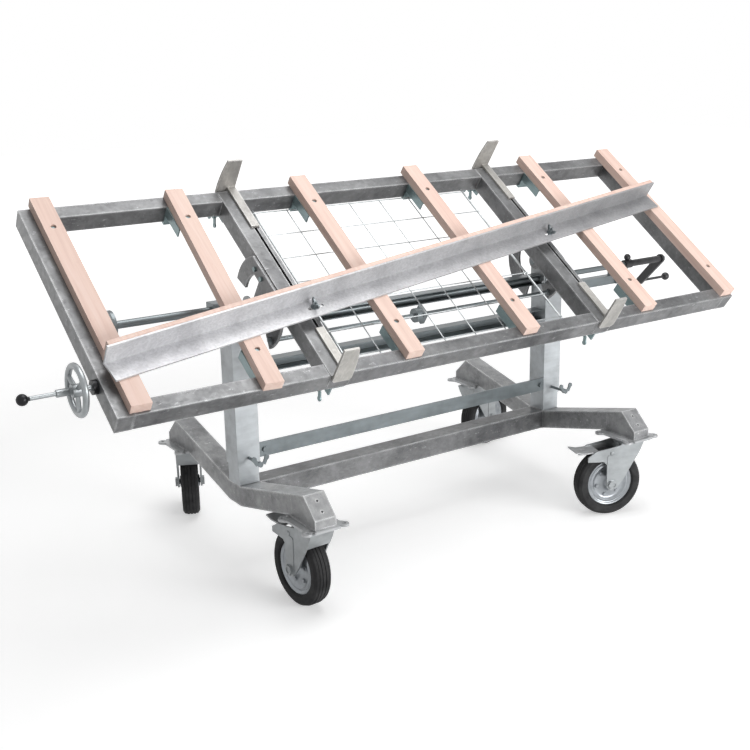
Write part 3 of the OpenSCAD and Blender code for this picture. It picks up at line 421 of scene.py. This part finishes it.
class Maker:
    """Collects mesh shapes in millimetres and saves them as one piece."""

    def __init__(self):
        self.mesh = bmesh.new()

    def corners(self, points):
        return [self.mesh.verts.new(point) for point in points]

    def lathe(self, profile, place, steps=64):
        """Turns (radius, height) points about the local Z axis; the profile is a closed loop."""
        rows = [self.corners(place @ ring_point(radius, height, step, steps)
                             for radius, height in profile) for step in range(steps)]
        for step, here in enumerate(rows):
            there = rows[(step + 1) % steps]
            for low in range(len(profile)):
                high = (low + 1) % len(profile)
                self.mesh.faces.new((here[low], there[low], there[high], here[high]))

    def cap(self, profile, place, steps=24):
        """A turned solid whose profile starts and ends on the axis."""
        rings = [self.corners(place @ ring_point(radius, height, step, steps)
                              for step in range(steps if radius else 1)) for radius, height in profile]
        for low, high in zip(rings, rings[1:]):
            for here in range(steps):
                there = (here + 1) % steps
                if len(low) == 1:
                    self.mesh.faces.new((low[0], high[there], high[here]))
                elif len(high) == 1:
                    self.mesh.faces.new((low[here], low[there], high[0]))
                else:
                    self.mesh.faces.new((low[here], low[there], high[there], high[here]))

    def hexagon(self, across, height, place):
        """A hexagon head with its upper corners turned off."""
        radius = across / math.sqrt(3)
        chamfer = 0.06 * across
        self.cap([(0, 0), (radius, 0), (radius, height - chamfer), (radius - chamfer, height),
                  (0, height)], place, 6)

    def close(self, rings):
        """Walls between the rings and a face at each end."""
        for low, high in zip(rings, rings[1:]):
            for here in range(len(low)):
                there = (here + 1) % len(low)
                self.mesh.faces.new((low[here], low[there], high[there], high[here]))
        self.mesh.faces.new(list(reversed(rings[0])))
        self.mesh.faces.new(rings[-1])

    def tube(self, points, radii, sides=8):
        """A round bar along points, with a radius for each of them."""
        rings = []
        for index, (point, radius) in enumerate(zip(points, radii)):
            ahead = points[min(index + 1, len(points) - 1)] - points[max(index - 1, 0)]
            turn = ahead.to_track_quat("Z", "Y").to_matrix()
            rings.append(self.corners(point + turn @ ring_point(radius, 0, side, sides)
                                      for side in range(sides)))
        self.close(rings)

    def plate(self, outline, ends, place):
        """A plate whose outline is drawn in X and Z, between two places along Y."""
        self.close([self.corners(place @ Vector((x, end, z)) for x, z in outline) for end in ends])

    def bead(self, start, end, radius):
        """A rippled weld bead between two points."""
        start, end = Vector(start), Vector(end)
        count = max(FEWEST_RIPPLES, int((end - start).length / RIPPLE_STEP))
        points, radii = [], []
        for step in range(count + 1):
            swell = SWELL_MEAN + SWELL_WAVE * abs(math.sin(SWELL_TURN * step))
            swell += random.uniform(-SWELL_NOISE, SWELL_NOISE)
            if step in (0, count):
                swell = END_SWELL
            sway = Vector((random.uniform(-SWAY, SWAY), random.uniform(-SWAY, SWAY), 0))
            points.append(start.lerp(end, step / count) + sway)
            radii.append(radius * swell)
        self.tube(points, radii)

    def save(self, name, body, kind, slot, within=Matrix.Identity(4)):
        bmesh.ops.recalc_face_normals(self.mesh, faces=self.mesh.faces)
        data = bpy.data.meshes.new(name)
        self.mesh.to_mesh(data)
        self.mesh.free()
        data.transform(Matrix.Scale(MM, 4) @ within)
        for face in data.polygons:
            face.use_smooth = True
        data.set_sharp_from_angle(angle=SHARP_EDGE)
        data.materials.append(MATERIALS[kind])
        made = show(bpy.data.objects.new(name, data))
        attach(made, body)
        return made


def caster_place(corner):
    """A caster's frame: the floor below its king pin, with X towards its axle."""
    pin = joint_place(corner + "_swivel")
    trail = joint_place(corner + "_roll") - pin
    yaw = math.atan2(trail.y, trail.x)
    return Matrix.Translation((pin.x, pin.y, 0)) @ Matrix.Rotation(yaw, 4, "Z")


def outwards(side):
    """Turns the Z axis to the outer side of a caster: 1 is along Y, -1 against it."""
    return Matrix.Rotation(math.radians(-90 * side), 4, "X")


# Half of the pressed disc's section, as (radius, distance from the wheel's middle plane), and its bolts
DISC_HALF = [(5.3, 29), (15.5, 29), (18, 27), (20, 20.5), (24, 16), (31, 13.2), (44, 12.4),
             (49, 13.6), (52, 17), (54.5, 18.6), (57.5, 18.2), (60, 16.6), (62, 17.2),
             (64.2, 19.8), (66.6, 20.6), (69, 19.6), (70, 17)]
DISC_BOLTS, BOLT_CIRCLE_R, BOLT_SEAT, FIRST_BOLT = 6, 38, 12.2, 12
BOLT_ACROSS, BOLT_H = 9.5, 4.6
BOLT_WASHER = [(0, 0), (6.6, 0), (6.6, 1.0), (0, 1.0)]


def wheel_face(corner):
    """The pressed steel disc: rolled rim, channel, dish, bolts and hub, the same on both sides."""
    axle = caster_place(corner) @ Matrix.Translation((TRAIL, 0, WHEEL_R)) @ outwards(-1)
    maker = Maker()
    maker.lathe(DISC_HALF + [(radius, -height) for radius, height in reversed(DISC_HALF)], axle, 96)
    for side in (0, 180):
        turned = axle @ Matrix.Rotation(math.radians(side), 4, "X")
        for bolt in range(DISC_BOLTS):
            angle = math.radians(360 / DISC_BOLTS * bolt + FIRST_BOLT)
            spot = (turned @ Matrix.Rotation(angle, 4, "Z")
                    @ Matrix.Translation((BOLT_CIRCLE_R, 0, BOLT_SEAT)))
            maker.cap(BOLT_WASHER, spot)
            maker.hexagon(BOLT_ACROSS, BOLT_H, spot)
    made = maker.save(corner + "_pressed_disc", corner + "_wheel", "disc", "zinc_plated")
    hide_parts(corner + "_wheel_disc")


# The swivel head's two races, as (radius, height from the fork's top)
RACES = [(24, -15), (36.5, -15), (38.6, -12), (38.8, -8), (36.8, -5.5), (38.6, -3.4), (38.4, -0.9),
         (24, -0.9)]
# The strap on each cheek: its round end, its top with cut corners, and its two faces
STRAP_R, STRAP_TOP, STRAP_CUT, STRAP_STEPS = 18, 191, 5, 12
STRAP_IN, STRAP_OUT = 32.5, 36.4
# The pedal's rivet and the axle's washer, as (radius, height), with their places
RIVET = [(0, -1), (6.8, -1), (6.8, 0.8), (5.4, 2.6), (2.8, 3.6), (0, 3.8)]
RIVET_X, RIVET_Y, RIVET_Z = 61, 35, 196
AXLE_WASHER = [(0, -0.5), (13.5, -0.5), (13.5, 1.2), (12.6, 1.6), (0, 1.6)]
AXLE_WASHER_Y = 36.2


def strap_outline():
    """The strap on a fork's cheek: round below the axle, with cut corners at its top."""
    shoulder = STRAP_TOP - STRAP_CUT
    low = [(TRAIL - STRAP_R * math.cos(math.pi * step / STRAP_STEPS),
            WHEEL_R - STRAP_R * math.sin(math.pi * step / STRAP_STEPS))
           for step in range(1, STRAP_STEPS)]
    return [(TRAIL - STRAP_R, shoulder), (TRAIL - STRAP_R, WHEEL_R), *low,
            (TRAIL + STRAP_R, WHEEL_R), (TRAIL + STRAP_R, shoulder),
            (TRAIL + STRAP_R - STRAP_CUT, STRAP_TOP), (TRAIL - STRAP_R + STRAP_CUT, STRAP_TOP)]


def fork_details(corner):
    """The swivel head's races, and on each cheek the strap, the pedal's rivet and the axle's washer."""
    place = caster_place(corner)
    maker = Maker()
    maker.lathe([(radius, FORK_TOP + height) for radius, height in RACES], place)
    for side in (-1, 1):
        maker.plate(strap_outline(), (side * STRAP_IN, side * STRAP_OUT), place)
        rivet = Matrix.Translation((RIVET_X, side * RIVET_Y, RIVET_Z))
        maker.cap(RIVET, place @ rivet @ outwards(side))
        washer = Matrix.Translation((TRAIL, side * AXLE_WASHER_Y, WHEEL_R))
        maker.cap(AXLE_WASHER, place @ washer @ outwards(side), 40)
    maker.save(corner + "_fork_details", corner + "_caster", "fork", "zinc_plated")


# The beads' radii, and the play at the ends of those on the table
BASE_BEAD, SEAT_BEAD, TABLE_BEAD = 2.6, 2.2, 1.8
BEAD_INSET = 1
# How far the beads on a caster seat reach from the king pin, inwards and outwards, and their height
SEAT_BEAD_IN, SEAT_BEAD_OUT = 62, 56
SEAT_BEAD_Z = SEAT_TOP + 0.3
# The width of a cross rail, whose node holds both
CROSS_W = 60


def base_welds():
    """Beads where the middle beam meets the legs and along the edges of the caster seats."""
    maker = Maker()
    low, high = box_from("spine_beam")
    for side in (-1, 1):
        end = side * high.x
        maker.bead((end, low.y, high.z), (end, high.y, high.z), BASE_BEAD)
        for wall in (low.y, high.y):
            maker.bead((end, wall, low.z), (end, wall, high.z), BASE_BEAD)
        maker.bead((end, low.y, low.z), (end, high.y, low.z), BASE_BEAD)
        for seat in ("front_left_swivel", "back_left_swivel"):
            pin = joint_place(seat)
            start, stop = sorted(math.copysign(abs(pin.y) + reach, pin.y)
                                 for reach in (-SEAT_BEAD_IN, SEAT_BEAD_OUT))
            for wall in (low.y, high.y):
                along = side * abs(pin.x) + wall
                maker.bead((along, start, SEAT_BEAD_Z), (along, stop, SEAT_BEAD_Z), SEAT_BEAD)
    maker.save("base_welds", "root", "galvanised", "galvanised")


def table_welds():
    """Beads at the joints of the table's rails: on top everywhere, at the sides of the cross rails."""
    maker = Maker()
    cross_low, cross_high = box_from("cross_rails", TABLE)
    long_low, long_high = box_from("long_rails", TABLE)
    rail_w = box_from("end_rails", TABLE)[1].x - long_high.x
    sides = [cross_low.x, cross_low.x + CROSS_W, cross_high.x - CROSS_W, cross_high.x]
    for along in [*sides, long_low.x, long_high.x]:
        for front in (long_low.y, long_high.y - rail_w):
            maker.bead((along, front + BEAD_INSET, long_high.z),
                       (along, front + rail_w - BEAD_INSET, long_high.z), TABLE_BEAD)
            if along in sides:
                for wall in (front, front + rail_w):
                    maker.bead((along, wall, long_low.z + BEAD_INSET),
                               (along, wall, long_high.z - BEAD_INSET), TABLE_BEAD)
    maker.save("table_welds", "table", "galvanised", "galvanised", within=TABLE)


# Stage

# The floor's own light near the object and far from it, and the distances in metres between which it rises
FLOOR_NEAR, FLOOR_FAR = 0.45, 1.0
RISE_START, RISE_END = 1.6, 4.5
FLOOR_HALF = 14.0
# The light of the white surroundings on the object
WORLD_LEVEL = 0.2
# Name: place, aim, width and length in metres, and power in watts
LAMPS = {
    "top": ((0.2, -0.2, 3.6), (0, 0, 0.6), (2.6, 2.0), 70),
    "left": ((-3.6, -0.6, 2.2), (0, 0, 0.6), (1.6, 2.2), 3),
    "front": ((1.3, -3.5, 1.0), (0, 0, 0.5), (2.2, 1.2), 95),
}


def seen_directly(tree):
    """1 where the camera, a mirror-like surface or a clear one sees the surface, else 0."""
    path = tree.nodes.new("ShaderNodeLightPath")
    total = path.outputs["Is Camera Ray"]
    for name in ("Is Glossy Ray", "Is Transmission Ray"):
        add = tree.nodes.new("ShaderNodeMath")
        add.operation = "MAXIMUM"
        tree.links.new(total, add.inputs[0])
        tree.links.new(path.outputs[name], add.inputs[1])
        total = add.outputs[0]
    return total


def lay_floor():
    """A pale floor that is white to the camera but keeps the shadow."""
    ground = Nodes("floor")
    grain = ground.ramp(ground.noise(3.0), [(0.0, (0.80, 0.80, 0.80)), (1.0, (0.82, 0.82, 0.82))])
    ground.finish(grain, ground.spread(ground.noise(30.0), 0.75, 0.85),
                  ground.bump(ground.noise(200.0), 0.02, 0.0002))
    away = ground.add("ShaderNodeVectorMath", operation="LENGTH")
    ground.link(ground.place, away.inputs[0])
    lift = ground.spread(away.outputs["Value"], FLOOR_NEAR, FLOOR_FAR, RISE_START, RISE_END)
    seen = ground.add("ShaderNodeMath", operation="MULTIPLY")
    ground.link(lift, seen.inputs[0])
    ground.link(seen_directly(ground.tree), seen.inputs[1])
    ground.shader.inputs["Emission Color"].default_value = (*WHITE, 1)
    ground.link(seen.outputs["Value"], ground.shader.inputs["Emission Strength"])
    mesh = bpy.data.meshes.new("floor")
    square = ((-1, -1), (1, -1), (1, 1), (-1, 1))
    mesh.from_pydata([(x * FLOOR_HALF, y * FLOOR_HALF, 0) for x, y in square], [], [(0, 1, 2, 3)])
    mesh.materials.append(ground.material)
    show(bpy.data.objects.new("floor", mesh))


def light_world():
    """White surroundings: full to the camera and in reflections, weak as a light."""
    world = bpy.data.worlds.new("world")
    bpy.context.scene.world = world
    world.use_nodes = True
    tree = world.node_tree
    background = tree.nodes["Background"]
    level = tree.nodes.new("ShaderNodeMapRange")
    level.inputs["To Min"].default_value = WORLD_LEVEL
    level.inputs["To Max"].default_value = 1.0
    tree.links.new(seen_directly(tree), level.inputs["Value"])
    tree.links.new(level.outputs["Result"], background.inputs["Strength"])
    background.inputs["Color"].default_value = (*WHITE, 1)


def hang_lamp(name, place, aim, size, power):
    data = bpy.data.lights.new(name, "AREA")
    data.shape = "RECTANGLE"
    data.size, data.size_y = size
    data.energy = power
    lamp = show(bpy.data.objects.new(name, data))
    lamp.location = place
    lamp.rotation_euler = (Vector(aim) - Vector(place)).to_track_quat("-Z", "Y").to_euler()


place_camera()
dress_cad()
for corner in CORNERS:
    wheel_face(corner)
    fork_details(corner)
base_welds()
table_welds()
lay_floor()
light_world()
for name, settings in LAMPS.items():
    hang_lamp(name, *settings)
bpy.context.scene.view_settings.view_transform = "Standard"
